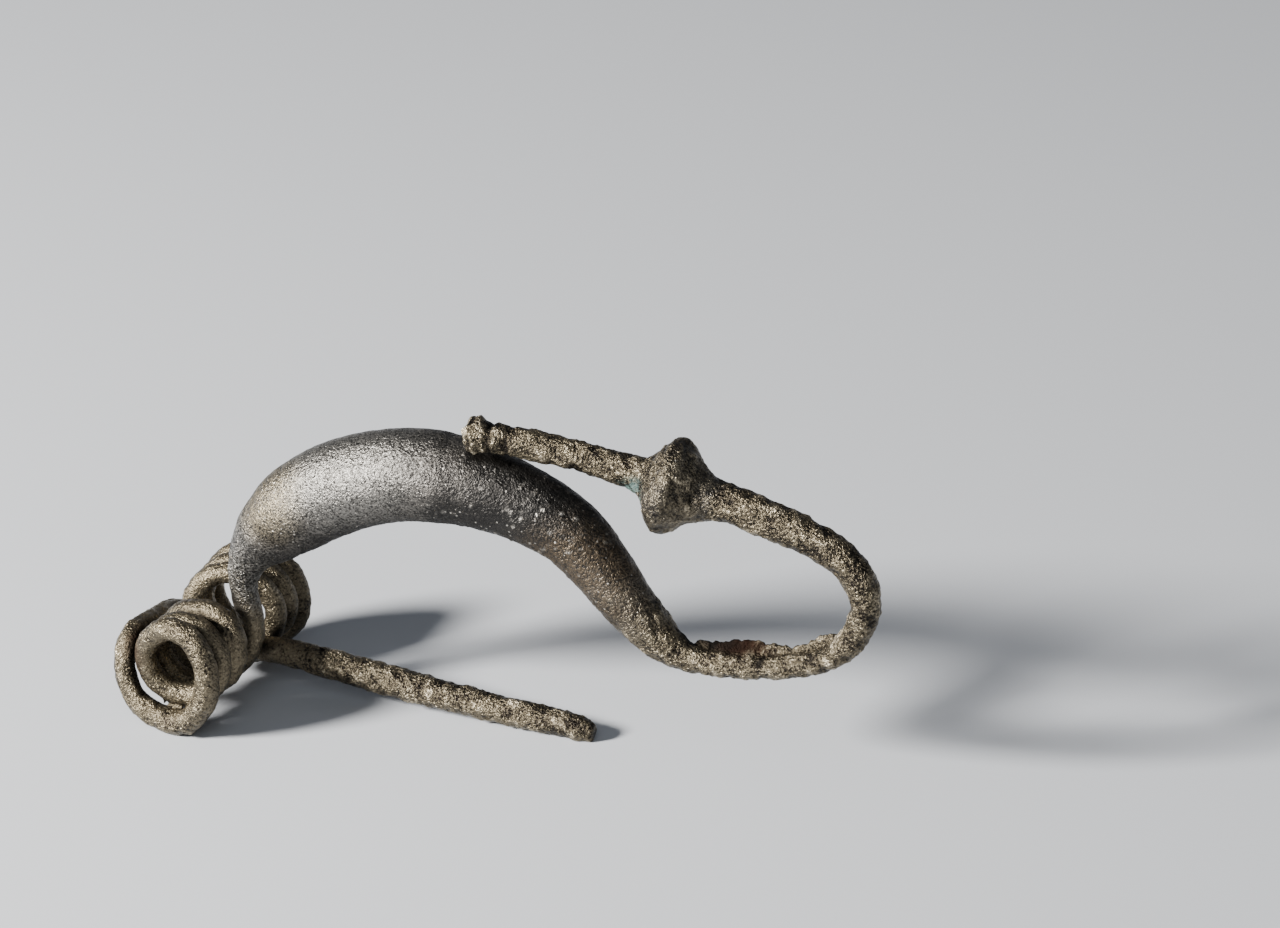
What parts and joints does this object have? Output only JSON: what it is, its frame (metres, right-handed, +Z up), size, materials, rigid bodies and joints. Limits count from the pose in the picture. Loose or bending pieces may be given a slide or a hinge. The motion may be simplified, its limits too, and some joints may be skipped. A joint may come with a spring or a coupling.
{
  "type": "bow brooch",
  "caption": "Ancient cast and wound bronze bow brooch with a swollen bow, returned foot with a knob, coiled spring and broken pin; it pinned cloth and now stands on its spring and pin.",
  "frame": {"origin": "under the middle of the brooch, on the surface it stands on", "axes": "+X from the spring to the foot loop, +Z up as it stands, +Y to the far side"},
  "size_m": [0.0498, 0.015, 0.023],
  "materials": {
    "bronze": "dark corroded bronze patina, satin on the bow's head, worn golden on ridges"
  },
  "bodies": {
    "root": {"fibula": "bronze"}
  },
  "joints": []
}
